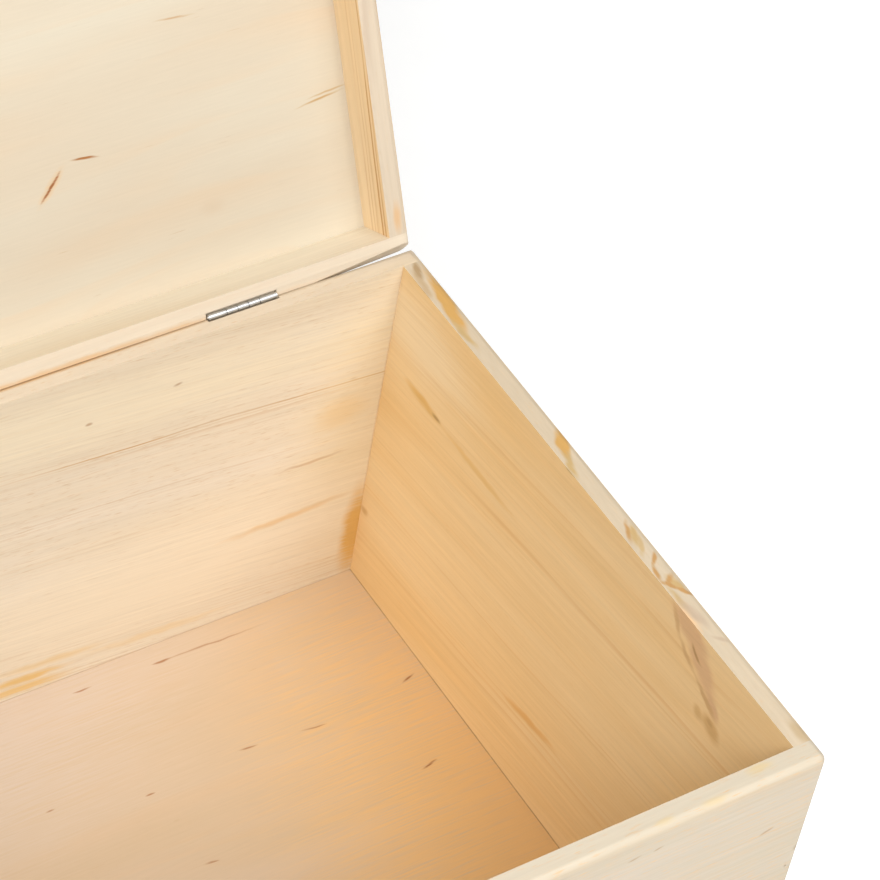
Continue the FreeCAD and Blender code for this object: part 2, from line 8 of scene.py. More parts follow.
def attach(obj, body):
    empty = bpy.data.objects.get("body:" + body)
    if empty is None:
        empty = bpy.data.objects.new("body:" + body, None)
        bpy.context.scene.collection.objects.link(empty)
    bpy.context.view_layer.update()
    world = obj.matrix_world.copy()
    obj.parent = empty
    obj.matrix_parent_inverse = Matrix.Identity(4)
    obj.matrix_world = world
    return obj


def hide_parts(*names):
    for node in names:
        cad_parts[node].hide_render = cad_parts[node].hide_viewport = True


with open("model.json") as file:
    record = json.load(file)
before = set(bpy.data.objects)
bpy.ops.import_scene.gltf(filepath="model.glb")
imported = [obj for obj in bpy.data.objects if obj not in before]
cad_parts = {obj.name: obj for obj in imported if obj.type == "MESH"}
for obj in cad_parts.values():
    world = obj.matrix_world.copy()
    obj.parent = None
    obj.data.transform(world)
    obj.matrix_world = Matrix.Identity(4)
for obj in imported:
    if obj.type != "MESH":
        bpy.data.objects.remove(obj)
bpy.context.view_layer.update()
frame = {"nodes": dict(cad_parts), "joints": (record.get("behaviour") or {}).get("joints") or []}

# Right and left wall
# Pine boards 10 mm thick, planed and sanded and left bare, that butt between the front and the rear wall.
# They are glued and held by brads, driven through those walls into their ends.
MM = 0.001
ARRIS = 0.35 * MM
ARRIS_STEPS = 2
MERGE_DISTANCE = 0.001 * MM
FLAT_ANGLE = math.radians(0.5)
SHARP_ANGLE = math.radians(35)


def dressed(node, width):
    """A copy of a CAD piece, merged into whole faces, with its sharp edges broken to this width."""
    bpy.ops.object.select_all(action="DESELECT")
    piece = bpy.data.objects.new(node + ".dressed", frame["nodes"][node].data.copy())
    bpy.context.scene.collection.objects.link(piece)
    piece.data.materials.clear()
    piece.select_set(True)
    bpy.context.view_layer.objects.active = piece
    bpy.ops.mesh.customdata_custom_splitnormals_clear()
    bpy.ops.object.mode_set(mode="EDIT")
    bpy.ops.mesh.select_all(action="SELECT")
    bpy.ops.mesh.remove_doubles(threshold=MERGE_DISTANCE)
    bpy.ops.mesh.dissolve_limited(angle_limit=FLAT_ANGLE)
    bpy.ops.object.mode_set(mode="OBJECT")
    edge = piece.modifiers.new("arris", "BEVEL")
    edge.width = width
    edge.segments = ARRIS_STEPS
    edge.angle_limit = SHARP_ANGLE
    bpy.ops.object.modifier_apply(modifier=edge.name)
    bpy.ops.object.shade_smooth_by_angle(angle=SHARP_ANGLE)
    # Flat faces keep their own normals, and only the broken edges look round
    facing = piece.modifiers.new("facing", "WEIGHTED_NORMAL")
    facing.keep_sharp = True
    facing.weight = 100
    bpy.ops.object.modifier_apply(modifier=facing.name)
    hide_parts(node)
    return piece


def linear(hex_colour):
    """An sRGB hex colour as linear red, green, blue and alpha."""
    parts = [int(hex_colour[i:i + 2], 16) / 255 for i in (1, 3, 5)]
    return [c / 12.92 if c <= 0.04045 else ((c + 0.055) / 1.055) ** 2.4 for c in parts] + [1.0]


def add(tree, kind, *sources, named=None, **settings):
    """Adds a node with its settings. Sources go to its open inputs in order, or to inputs by name.

    A MapRange takes the value, the range it comes from and the range it goes to, in that order.
    """
    made = tree.nodes.new("ShaderNode" + kind)
    for setting, value in settings.items():
        setattr(made, setting, value)
    sockets = [socket for socket in made.inputs if socket.enabled]
    pairs = list(zip(sockets, sources)) + [(made.inputs[key], value) for key, value in (named or {}).items()]
    for socket, source in pairs:
        if isinstance(source, bpy.types.Node):
            source = next(out for out in source.outputs if out.enabled)
        if isinstance(source, bpy.types.NodeSocket):
            tree.links.new(source, socket)
        elif source is not None:
            socket.default_value = source
    return made


# How far apart in the noise two patterns lie whose seeds differ by one
SEED_STEP = (17.3, 5.1, 9.7)


def streaks(tree, board, length, width, seed, detail=2.0):
    """Soft streaks along the grain, from 0 to 1, about this long and wide in millimetres."""
    start = [seed * step for step in SEED_STEP]
    stretch = (1 / length, 1 / width, 1 / width)
    place = add(tree, "Mapping", board, start, (0, 0, 0), stretch)
    return add(tree, "TexNoise", place, 1.0, detail)


def stained(tree, board, colour, marks, ragged, drift):
    """The colour with single marks laid over it, each a lens of wood with a soft, ragged edge.

    A mark is its hex colour, strength, middle and half sizes in millimetres of the board, and its
    turns in degrees. The marks wander by up to half the drift in millimetres, as wood does.
    """
    waves_per_mm = 0.11
    wave = add(tree, "TexNoise", board, waves_per_mm, 1.0)
    board = add(tree, "VectorMath", board, [drift / 2] * 3, operation="SUBTRACT")
    board = add(tree, "VectorMath", wave.outputs["Color"], [drift] * 3, board, operation="MULTIPLY_ADD")
    for tint, strength, middle, half, turns in marks:
        turns = [math.radians(turn) for turn in turns]
        place = add(tree, "Mapping", board, middle, turns, half, vector_type="TEXTURE")
        lens = add(tree, "TexGradient", place, gradient_type="SPHERICAL")
        rough = add(tree, "Math", lens.outputs["Fac"], ragged, operation="MULTIPLY")
        share = add(tree, "MapRange", rough, 0.02, 0.8, 0.0, strength, interpolation_type="SMOOTHSTEP")
        colour = add(tree, "Mix", share, colour, linear(tint), data_type="RGBA")
    return colour


def planed_pine(name, axes, offset, lean, pith, ring, face, pale, honey, late, edge, seed, late_share,
                honey_share, fleck_share=0.15, bundles=(), marks=(), knots=(), seams=()):
    """Pine, planed and sanded and bare: a pale matt ground with honey growth lines along the board.

    The growth rings are drawn through the solid wood, one ring to so many millimetres, round a pith
    beside the board, so that faces show lines and the ends show arcs. Most years are faint, and bundles
    of strong years are given by their height on the face, half width and strength. Knots push the rings
    apart. Marks wander with the wood, and seams are marks that stay straight. Fibres are under a tenth
    of a millimetre, which is too fine to show, so they are drawn about one millimetre wide.
    """
    material = bpy.data.materials.new(name)
    material.use_nodes = True
    tree = material.node_tree
    tree.nodes.clear()
    coordinates = add(tree, "TexCoord")
    turn = Matrix(axes).to_euler()
    board = add(tree, "Mapping", coordinates.outputs["Object"], offset, turn, [1 / MM] * 3)
    grain = add(tree, "Mapping", board, (0, 0, 0), (0, 0, math.radians(lean)))
    # The trunk isn't straight: along the board the rings wander, and ripple a little
    wander, sway = 8.0, 1.0
    start = (0, -pith[0] - wander / 2, -pith[1] - wander / 2)
    bent = add(tree, "Mapping", grain, start, (0, 0, 0), (0, 1, 1))
    bends = streaks(tree, grain, 150, 60, seed, 1.0).outputs["Color"]
    bent = add(tree, "VectorMath", bends, (0, wander, wander), bent, operation="MULTIPLY_ADD")
    ripple = streaks(tree, grain, 30, 5, seed + 1, 1.0).outputs["Color"]
    bent = add(tree, "VectorMath", ripple, (0, sway, sway), bent, operation="MULTIPLY_ADD")
    radius = add(tree, "VectorMath", bent, operation="LENGTH").outputs["Value"]
    for middle, half, push in knots:
        # The rings part round a knot
        place = add(tree, "Mapping", board, middle, (0, 0, 0), half, vector_type="TEXTURE")
        lens = add(tree, "TexGradient", place, gradient_type="SPHERICAL").outputs["Fac"]
        swell = add(tree, "Math", lens, 1.6, operation="POWER")
        radius = add(tree, "Math", swell, push, radius, operation="MULTIPLY_ADD")
    # Wide and narrow years follow each other, each with its late wood at its outer end
    years = add(tree, "Math", radius, ring, operation="DIVIDE")
    year_noise = add(tree, "TexNoise", years, 0.35, 1.0, noise_dimensions="1D")
    years = add(tree, "Math", year_noise, 2.4, years, operation="MULTIPLY_ADD")
    part = add(tree, "Math", years, operation="FRACT")
    year = add(tree, "Math", years, operation="FLOOR")
    rise = add(tree, "MapRange", part, 0.35, 0.9, 0.0, 1.0, interpolation_type="SMOOTHSTEP")
    fall = add(tree, "MapRange", part, 0.9, 1.0, 1.0, 0.0, interpolation_type="SMOOTHSTEP")
    line = add(tree, "Math", rise, fall, operation="MULTIPLY")
    good_year = add(tree, "TexWhiteNoise", year, noise_dimensions="1D").outputs["Value"]
    good_year = add(tree, "MapRange", good_year, 0.2, 1.0, 0.2, 1.0)
    along = streaks(tree, grain, 90, 5, seed + 2)
    along = add(tree, "MapRange", along, 0.3, 0.68, 0.1, 1.0)
    strength = late_share
    for height, half, share in bundles:
        middle = math.hypot(height - pith[0], face - pith[1])
        away = add(tree, "Math", radius, middle, operation="SUBTRACT")
        away = add(tree, "Math", away, operation="ABSOLUTE")
        boost = add(tree, "MapRange", away, half, half * 0.4, 0.0, share, interpolation_type="SMOOTHSTEP")
        strength = add(tree, "Math", strength, boost, operation="MAXIMUM")
    line = add(tree, "Math", line, good_year, operation="MULTIPLY")
    line = add(tree, "Math", line, along, operation="MULTIPLY")
    line = add(tree, "Math", line, strength, operation="MULTIPLY")
    # Colour: a slow change from pale to honey, growth lines and fibres, and painted shade on the long edges:
    # the rims face up into the lights and take a greyer, darker colour of their own
    slow = streaks(tree, grain, 220, 26, seed + 3)
    slow = add(tree, "MapRange", slow, 0.3, 0.7, honey_share - 0.28, honey_share + 0.28)
    colour = add(tree, "Mix", slow, linear(pale), linear(honey), data_type="RGBA")
    colour = add(tree, "Mix", line, colour, linear(late), data_type="RGBA")
    facing = add(tree, "Mapping", coordinates.outputs["Normal"], None, turn)
    facing = add(tree, "SeparateXYZ", facing)
    rim_shade = add(tree, "Math", facing.outputs["Y"], operation="ABSOLUTE")
    rim_shade = add(tree, "MapRange", rim_shade, 0.4, 0.95, 0.0, 0.8)
    colour = add(tree, "Mix", rim_shade, colour, linear(edge), data_type="RGBA")
    fibre = streaks(tree, grain, 26, 0.9, seed + 4, 3.0)
    band = streaks(tree, grain, 80, 2.0, seed + 5, 1.0)
    fleck = streaks(tree, grain, 6, 0.7, seed + 6, 1.0)
    fleck = add(tree, "MapRange", fleck, 0.6, 0.8, 0.0, fleck_share)
    colour = add(tree, "Mix", fleck, colour, linear(late), data_type="RGBA")
    ragged = add(tree, "MapRange", fibre, 0.25, 0.75, 0.65, 1.35)
    colour = stained(tree, board, colour, marks, ragged, drift=3.0)
    colour = stained(tree, board, colour, seams, ragged, drift=0.0)
    light = add(tree, "MapRange", fibre, 0.2, 0.8, 0.96, 1.03)
    band = add(tree, "MapRange", band, 0.25, 0.75, 0.965, 1.03)
    light = add(tree, "Math", light, band, operation="MULTIPLY")
    colour = add(tree, "VectorMath", colour, named={"Scale": light}, operation="SCALE")
    # Cut ends drink the light: they are darker than the faces
    end = add(tree, "Math", facing.outputs["X"], operation="ABSOLUTE")
    end = add(tree, "MapRange", end, 0.7, 0.95, 1.0, 0.84)
    colour = add(tree, "VectorMath", colour, named={"Scale": end}, operation="SCALE")
    # Sanded wood is matt, with hard late wood standing a little proud of the fibres
    rough = add(tree, "MapRange", fibre, 0.2, 0.8, 0.68, 0.56)
    height = add(tree, "Math", line, 0.15, fibre, operation="MULTIPLY_ADD")
    bump = add(tree, "Bump", named={"Strength": 0.3, "Distance": 0.05 * MM, "Height": height})
    shader = add(tree, "BsdfPrincipled", named={
        "Base Color": colour, "Roughness": rough, "IOR": 1.5, "Normal": bump})
    add(tree, "OutputMaterial", shader)
    return material


# Board axes: along the grain, up the face, out of the face, as rows
ACROSS_BOX = ((0, 1, 0), (0, 0, 1), (1, 0, 0))
ALONG_BOX = ((1, 0, 0), (0, 0, 1), (0, -1, 0))
IN_PLACE = (0, 0, 0)
WALL_LATE = "#CE9A5A"
# The walls' rims in a greyer, darker colour: painted shade against the light they catch
WALL_RIM_SHADE = "#B6AA98"
TEA, TEA_SIDE, KNOT_HALO = "#DBB589", "#CFA978", "#D6B078"
RESIN, RESIN_ORANGE, RESIN_BROWN, RESIN_GREY = "#B89B6A", "#C19655", "#B38A56", "#B49F88"

right_wall = dressed("right_wall", ARRIS)
right_wall.data.materials.append(planed_pine(
    "planed_pine_right_wall", ACROSS_BOX, IN_PLACE, lean=6.8, pith=(-60, 260), ring=4.2, face=191.8,
    # The inside colours are warmer than the wood: painted bounce light from the honey boards round it
    pale="#F1D6A8", honey="#E9C284", late="#D39B55", edge=WALL_RIM_SHADE, seed=1, late_share=0.14,
    honey_share=0.5, bundles=[(136, 8, 0.5), (172, 6, 0.4), (38, 16, 0.5), (82, 14, 0.3)],
    knots=[((-95, 165, 192), (60, 24, 40), 9.0)],
    marks=[
        # Paler at the top of the rear end, and painted light at the foot of the front end, which lifts the
        # corner that the front wall shades
        ("#F1DCB7", 0.7, (130, 172, 192), (75, 29, 5), (0, 0, 0)),
        ("#F3C780", 0.8, (-135, 60, 192), (80, 120, 8), (0, 0, 0)),
        # A stain the colour of tea that comes down from the rim, dark along its left side, to a brown knot
        (TEA, 1.4, (-74, 193, 192), (18, 8, 6), (0, 0, 15)),
        (TEA, 1.4, (-85, 183, 192), (19, 8, 6), (0, 0, 42)),
        (TEA, 1.2, (-96, 171, 192), (10, 4, 6), (0, 0, 45)),
        (TEA_SIDE, 0.8, (-65.2, 190.3, 192), (10, 2.4, 6), (0, 0, 57)),
        (TEA_SIDE, 0.9, (-76, 179.7, 192), (11, 2.2, 6), (0, 0, 35)),
        (TEA_SIDE, 1.2, (-91.5, 170.5, 192), (13, 2.6, 6), (0, 0, 28)),
        ("#B69163", 1.1, (-80.3, 185.7, 192), (6, 1.4, 6), (0, 0, 34)),
        (KNOT_HALO, 1.3, (-98, 160, 192), (9, 6.5, 6), (0, 0, 35)),
        (KNOT_HALO, 0.9, (-89.5, 160.5, 192), (5.5, 4, 6), (0, 0, 35)),
        ("#C7A16C", 1.0, (-96.8, 162, 192), (3.4, 2.4, 6), (0, 0, 35)),
        # A pitch streak near the rear corner with a faint tail, and an orange spindle low down
        ("#DEB36C", 1.0, (113, 143.4, 192), (19, 4.0, 6), (0, 0, 0)),
        ("#9D7945", 0.7, (102, 143.6, 192), (4.2, 1.5, 6), (0, 0, 0)),
        ("#E0B671", 0.7, (70, 142.5, 192), (38, 2.8, 6), (0, 0, 0)),
        ("#E0AB63", 0.8, (4, 49.2, 192), (27, 3.2, 6), (0, 0, -7)),
        ("#CAA166", 0.7, (139, 47, 192), (4, 3.4, 6), (0, 0, 0)),
        # Resin wood that crosses the rim in patches, stripes and a swirl
        ("#B59B78", 0.9, (127, 198.4, 193), (20, 1.3, 2.8), (0, -4, 0)),
        (RESIN_ORANGE, 1.6, (116, 197.4, 197.2), (28, 4, 4.2), (0, -7, 0)),
        (RESIN, 1.0, (97, 198.2, 194.4), (14, 1.6, 2.2), (0, 0, 0)),
        ("#A58A65", 1.3, (137.5, 198, 196), (7.5, 2.6, 2.6), (0, -15, 0)),
        (RESIN, 1.2, (21, 198.3, 195.2), (18, 1.6, 2.6), (0, -14, 0)),
        (RESIN_ORANGE, 1.5, (29, 197.5, 198), (11, 4, 3.8), (0, -24, 0)),
        (RESIN_BROWN, 1.1, (-23.2, 198, 195.4), (9, 2.6, 1.7), (0, -24, 0)),
        (RESIN, 1.3, (-26, 198, 196.3), (8, 2.6, 2.2), (0, -25, 0)),
        (RESIN, 0.8, (-31, 198, 195.7), (8, 2.6, 1.6), (0, -25, 0)),
        (RESIN, 1.2, (-54, 198, 197.4), (7, 3, 3.2), (0, 10, 0)),
        (RESIN_BROWN, 1.1, (-39.4, 198, 196.6), (5.5, 2.6, 1.7), (0, -38, 0)),
        (RESIN_BROWN, 1.1, (-46, 198, 193.7), (6.5, 2.0, 1.6), (0, -10, 0)),
        (RESIN_BROWN, 1.3, (-53.5, 198, 194.4), (5, 2.2, 1.8), (0, 32, 0)),
        (RESIN_BROWN, 1.3, (-58.4, 198, 198.2), (5.5, 3, 1.7), (0, 39, 0)),
        (RESIN_BROWN, 1.0, (-51.2, 198, 196.5), (5, 2.6, 1.8), (0, -48, 0)),
        (RESIN, 0.9, (-62, 198, 193.5), (12, 2, 1.8), (0, 4, 0)),
        (RESIN_GREY, 0.9, (-70, 198, 195), (12, 2.6, 3), (0, 10, 0)),
        (RESIN_GREY, 0.8, (-86, 198, 197.5), (6, 2.6, 1.5), (0, 40, 0)),
        ("#B69F7D", 1.0, (-137, 198, 198.4), (10, 3, 3.4), (0, 0, 0)),
    ],
    # Painted shade in the joint over the floor, and the outer face in plain pine, paler than the inside,
    # whose warm colours carry painted bounce light
    seams=[("#78512F", 0.65, (0, 4, 192), (420, 1.3, 6), (0, 0, 0)),
           ("#D6C8AD", 8.0, (0, 100, 205), (3000, 3000, 4.5), (0, 0, 0))]))
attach(right_wall, "box")

left_wall = dressed("left_wall", ARRIS)
left_wall.data.materials.append(planed_pine(
    "planed_pine_left_wall", ACROSS_BOX, IN_PLACE, lean=-2.0, pith=(-70, -270), ring=4.0, face=-191.8,
    pale="#D4C7B1", honey="#CDB894", late=WALL_LATE, edge=WALL_RIM_SHADE, seed=11, late_share=0.2,
    honey_share=0.5, bundles=[(60, 14, 0.6), (150, 9, 0.5)]))
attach(left_wall, "box")

# Front and rear wall
# The same pine, as long as the box is wide. They cover the ends of the side walls, and the rear wall has two
# cuts in its top edge for the hinges and a bevel behind them.
RIM_FIGURE, FACE_FLECK = "#C9B07E", "#937046"
front_wall = dressed("front_wall", ARRIS)
front_wall.data.materials.append(planed_pine(
    "planed_pine_front_wall", ALONG_BOX, IN_PLACE, lean=1.0, pith=(-90, 260), ring=3.8, face=151.8,
    # The faces are greyer and darker than the rear wall's: painted shade that holds back the strong front
    # light
    pale="#B3A898", honey="#AC9E85", late=WALL_LATE, edge="#C5B9A4", seed=21, late_share=0.25,
    honey_share=0.3, fleck_share=0.5, bundles=[(120, 20, 0.4)],
    marks=[
        # Honey figures on the rim, short brown flecks on the face and a dark spot at the right corner
        (RIM_FIGURE, 0.6, (174, 198, 144), (8, 5, 3), (0, 0, 0)),
        (RIM_FIGURE, 0.5, (150, 198, 149), (9, 5, 2.4), (0, 0, 0)),
        (RIM_FIGURE, 0.5, (127, 198, 149), (6, 5, 2.4), (0, 0, 0)),
        (FACE_FLECK, 0.6, (180, 164, 152), (4.5, 1.1, 4), (0, 0, 12)),
        (FACE_FLECK, 0.6, (114, 186, 152), (4, 1.0, 4), (0, 0, 8)),
        (FACE_FLECK, 0.6, (125, 186, 152), (3.5, 0.9, 4), (0, 0, 10)),
        ("#7E6A4C", 0.8, (200.5, 143, 150), (3.5, 4, 4), (0, 0, 0)),
    ]))
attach(front_wall, "box")

ORANGE_STREAK, HONEY_STREAK, PIN_KNOT = "#DDB97A", "#DDC08E", "#99693C"
rear_wall = dressed("rear_wall", ARRIS)
rear_wall.data.materials.append(planed_pine(
    "planed_pine_rear_wall", ALONG_BOX, IN_PLACE, lean=4.6, pith=(-150, -230), ring=2.4, face=-141.8,
    pale="#DFD4C2", honey="#D9C8AB", late="#B98A4C", edge="#C3B097", seed=31, late_share=0.24,
    honey_share=0.4, fleck_share=0.4,
    bundles=[(150, 6, 1.5), (176, 22, 0.55), (120, 7, 0.5), (24, 17, 0.7)],
    marks=[
        # Paler wood over the dark years and low down, and honey wood towards the right corner
        ("#E4D7BC", 0.8, (40, 172, -142), (260, 29, 3), (0, 0, -4)),
        ("#DDC596", 0.5, (195, 95, -142), (60, 150, 8), (0, 0, 0)),
        ("#E5D7BF", 0.8, (80, 50, -142), (200, 60, 5), (0, 0, 0)),
        ("#D2A55C", 1.1, (189.5, 33, -142), (9, 40, 6), (0, 0, 0)),
        ("#DAB984", 0.5, (172, 118, -142), (18, 13, 6), (0, 0, 0)),
        # Orange and honey streaks along the grain, a brown line and two pin knots
        ("#D3A662", 0.5, (152, 59.5, -142), (44, 3.2, 6), (0, 0, 2)),
        (ORANGE_STREAK, 0.9, (22, 9, -142), (34, 4.5, 6), (0, 0, -3)),
        (ORANGE_STREAK, 1.0, (24, 15, -142), (30, 3.6, 6), (0, 0, -3)),
        (HONEY_STREAK, 0.7, (36, 21, -142), (36, 3.2, 6), (0, 0, -4)),
        (HONEY_STREAK, 0.5, (90, 13, -142), (50, 3.2, 6), (0, 0, -3)),
        ("#A97A4C", 0.45, (160, 91.5, -142), (24, 1.3, 6), (0, 0, -2)),
        (PIN_KNOT, 0.6, (86, 172.7, -142), (2.4, 1.4, 6), (0, 0, 0)),
        (PIN_KNOT, 0.6, (45, 167, -142), (2.4, 1.4, 6), (0, 0, 0)),
    ],
    # Painted shade in the joint over the floor, the joint with the right wall, and painted shade in the seam
    # under the lid
    seams=[("#A57C50", 0.4, (0, 4, -142), (620, 1.2, 6), (0, 0, 0)),
           ("#C0904C", 0.4, (191.8, 100, -141.8), (1.1, 150, 3), (0, 0, 0)),
           ("#C0935A", 0.7, (-10, 197.4, -149.6), (190, 3, 2.8), (0, 0, 0))]))
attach(rear_wall, "box")

# Floor panel
# Thin pine-faced plywood, planted on under the walls with glue and brads. Its face is peeled veneer, so the
# growth rings lie nearly flat and show as a few soft contours and short brown dashes along the grain.
PLY_THICKNESS = 4.0
PLY_EDGE = 0.2 * MM
PLY_LATE, PLY_DASH, PLY_CORE = "#D2A066", "#93622F", "#BE9C70"


def peeled_plywood(name, axes, offset, pale, warm, seed, low, marks=()):
    """Sanded plywood: a smooth pale face with faint contours, and three plies at the edges.

    The sheet's underside lies at the height low, in millimetres.
    """
    material = bpy.data.materials.new(name)
    material.use_nodes = True
    tree = material.node_tree
    tree.nodes.clear()
    coordinates = add(tree, "TexCoord")
    turn = Matrix(axes).to_euler()
    board = add(tree, "Mapping", coordinates.outputs["Object"], offset, turn, [1 / MM] * 3)
    contour_count = 9.0
    contour = streaks(tree, board, 260, 60, seed, 1.0)
    contour = add(tree, "Math", contour, contour_count, operation="MULTIPLY")
    contour = add(tree, "Math", contour, operation="FRACT")
    rise = add(tree, "MapRange", contour, 0.2, 0.92, 0.0, 1.0, interpolation_type="SMOOTHSTEP")
    fall = add(tree, "MapRange", contour, 0.92, 1.0, 1.0, 0.0, interpolation_type="SMOOTHSTEP")
    line = add(tree, "Math", rise, fall, operation="MULTIPLY")
    patchy = streaks(tree, board, 120, 14, seed + 1)
    patchy = add(tree, "MapRange", patchy, 0.4, 0.7, 0.0, 0.12)
    line = add(tree, "Math", line, patchy, operation="MULTIPLY")
    slow = streaks(tree, board, 190, 40, seed + 2)
    slow = add(tree, "MapRange", slow, 0.3, 0.7, 0.0, 1.0)
    colour = add(tree, "Mix", slow, linear(pale), linear(warm), data_type="RGBA")
    colour = add(tree, "Mix", line, colour, linear(PLY_LATE), data_type="RGBA")
    dash = streaks(tree, board, 12, 0.9, seed + 3, 1.0)
    dash = add(tree, "MapRange", dash, 0.74, 0.86, 0.0, 0.3)
    colour = add(tree, "Mix", dash, colour, linear(PLY_DASH), data_type="RGBA")
    fibre = streaks(tree, board, 22, 0.9, seed + 4, 3.0)
    ragged = add(tree, "MapRange", fibre, 0.25, 0.75, 0.4, 1.5)
    colour = stained(tree, board, colour, marks, ragged, drift=1.5)
    light = add(tree, "MapRange", fibre, 0.2, 0.8, 0.97, 1.025)
    colour = add(tree, "VectorMath", colour, named={"Scale": light}, operation="SCALE")
    # At the edges the middle ply shows its end grain, darker than the two faces
    depth = add(tree, "SeparateXYZ", board).outputs["Z"]
    depth = add(tree, "Math", depth, low + PLY_THICKNESS / 2, operation="SUBTRACT")
    depth = add(tree, "Math", depth, operation="ABSOLUTE")
    core = add(tree, "MapRange", depth, PLY_THICKNESS * 0.24, PLY_THICKNESS * 0.28, 0.55, 0.0)
    colour = add(tree, "Mix", core, colour, linear(PLY_CORE), data_type="RGBA")
    # The sanded veneer is a little smoother than the boards, and its dashes are sunk
    rough = add(tree, "MapRange", fibre, 0.2, 0.8, 0.64, 0.54)
    height = add(tree, "Math", fibre, dash, operation="SUBTRACT")
    bump = add(tree, "Bump", named={"Strength": 0.25, "Distance": 0.05 * MM, "Height": height})
    shader = add(tree, "BsdfPrincipled", named={
        "Base Color": colour, "Roughness": rough, "IOR": 1.5, "Normal": bump})
    add(tree, "OutputMaterial", shader)
    return material


LEVEL = ((1, 0, 0), (0, 1, 0), (0, 0, 1))
DASH = "#915E30"
floor_panel = dressed("floor_panel", PLY_EDGE)
floor_panel.data.materials.append(peeled_plywood(
    "peeled_plywood_floor", LEVEL, IN_PLACE, pale="#C3AC92", warm="#BEA585", seed=41, low=0.0,
    marks=[
        # Painted shade and warm bounce light towards the front right, by the walls, and painted fuller light,
        # paler and greyer, at the rear left
        ("#D6AA6E", 0.9, (195, -60, 4), (150, 290, 30), (0, 0, 0)),
        ("#C1AF9E", 0.9, (-50, 150, 4), (200, 120, 30), (0, 0, 0)),
        # Short brown dashes and one long line
        (DASH, 0.8, (49, 133, 4), (6, 0.7, 3), (0, 0, 0)),
        (DASH, 0.8, (88, 131.8, 4), (6, 0.9, 3), (0, 0, 0)),
        (DASH, 0.6, (113, 131.4, 4), (36, 0.7, 3), (0, 0, -1)),
        (DASH, 0.8, (98, 73.2, 4), (6, 0.7, 3), (0, 0, -5)),
        (DASH, 0.7, (130, 70.2, 4), (8, 0.6, 3), (0, 0, -6)),
        (DASH, 0.8, (48, 69.7, 4), (3, 0.6, 3), (0, 0, 0)),
        (DASH, 0.8, (5, 80.6, 4), (3, 0.6, 3), (0, 0, 0)),
        (DASH, 0.8, (53.5, 26.6, 4), (5, 0.7, 3), (0, 0, -5)),
        (DASH, 1.0, (182.5, 75.8, 4), (5, 0.8, 3), (0, 0, 20)),
        (DASH, 1.0, (165.5, 30.2, 4), (5.5, 0.8, 3), (0, 0, 13)),
    ]))
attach(floor_panel, "box")

# Lid rails
# Four narrow pine rails, butted and bradded like the walls. The lid stands open, turned about its hinges, so
# the wood is drawn on the lid as it lies closed, which keeps its grain along the rails.
hinge = frame["joints"][0]
HINGE_AXIS = Vector(hinge["pos_m"])
SWING = math.radians(hinge["range_deg"][1] - hinge["range_deg"][0])
CLOSING = Matrix.Rotation(SWING, 3, "X")


def on_closed_lid(axes):
    """Board axes and offset in millimetres for wood of the lid, drawn as if the lid were closed."""
    turned = Matrix(axes) @ CLOSING
    offset = (Matrix(axes) @ HINGE_AXIS - turned @ HINGE_AXIS) / MM
    return turned, offset


LID_ACROSS = on_closed_lid(ACROSS_BOX)
LID_ALONG = on_closed_lid(ALONG_BOX)
# The rails' edge colours are painted shade on their rims, which catch more light than their faces
SIDE_RAIL = {"pale": "#ECD3AD", "honey": "#E5C492", "late": "#C4935A", "edge": "#B4A898"}
REAR_RAIL = {"pale": "#DFD6C2", "honey": "#D8C5A6", "late": "#C08F53", "edge": "#C8B9A4"}
FRONT_RAIL = {"pale": "#B3A898", "honey": "#AC9E85", "late": "#C08F53", "edge": "#B9AE9A"}
# A resin patch on the right rim, and painted shade on the edge of the rear rail over the wall, where the seam
# lies
RIGHT_PATCH = ("#C9985D", 0.6, (134, 198.3, 195.6), (10, 4, 3), (0, 0, 0))
REAR_SEAM_SHADE = ("#C9A06A", 0.6, (10, 199.0, -150), (200, 3, 3), (0, 0, 0))
for node, board, pith, face, colours, bundle, marks, seed in (
        ("lid_right_rail", LID_ACROSS, (60, 230), 190.8, SIDE_RAIL, (208, 16, 2.6), [RIGHT_PATCH], 51),
        ("lid_left_rail", LID_ACROSS, (60, -230), -190.8, SIDE_RAIL, (208, 13, 0.7), [], 61),
        ("lid_front_rail", LID_ALONG, (60, 190), 140.8, FRONT_RAIL, (212, 8, 0.6), [], 71),
        ("lid_rear_rail", LID_ALONG, (60, -190), -141.8, REAR_RAIL, (212, 6, 0.4), [REAR_SEAM_SHADE], 81)):
    rail = dressed(node, ARRIS)
    rail.data.materials.append(planed_pine(
        "planed_pine_" + node, *board, lean=0.0, pith=pith, ring=4.0, face=face, seed=seed,
        late_share=0.45, honey_share=0.45, bundles=[bundle], marks=marks, **colours))
    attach(rail, "lid")

# Lid panel
# A second sheet of the thin plywood, planted on the outside of the rails, so that from inside it lies behind
# their rims. It is held by glue and brads, and is paler than the floor.
lid_panel = dressed("lid_panel", PLY_EDGE)
lid_panel.data.materials.append(peeled_plywood(
    "peeled_plywood_lid", *on_closed_lid(LEVEL), pale="#C1B7A3", warm="#BEAF98", seed=91, low=219.1,
    marks=[
        # A brown streak in an orange halo, a few fine lines and a faint patch
        ("#C9A06C", 0.5, (52, 82.7, 219), (13, 3, 3), (0, 0, -46)),
        ("#8A5427", 1.1, (52, 82.7, 219), (10, 1.0, 3), (0, 0, -46)),
        ("#94602F", 1.1, (68.7, 75.2, 219), (8, 0.8, 3), (0, 0, 8)),
        ("#A98254", 0.7, (117.6, 29, 219), (12, 0.7, 3), (0, 0, 5)),
        ("#A8844E", 0.9, (178, 81, 219), (15, 0.8, 3), (0, 0, -7)),
        ("#A8844E", 0.7, (182, 78.8, 219), (13, 0.7, 3), (0, 0, -5)),
        ("#B8A084", 0.3, (122, 112, 219), (9, 5, 3), (0, 0, 0)),
    ]))
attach(lid_panel, "lid")

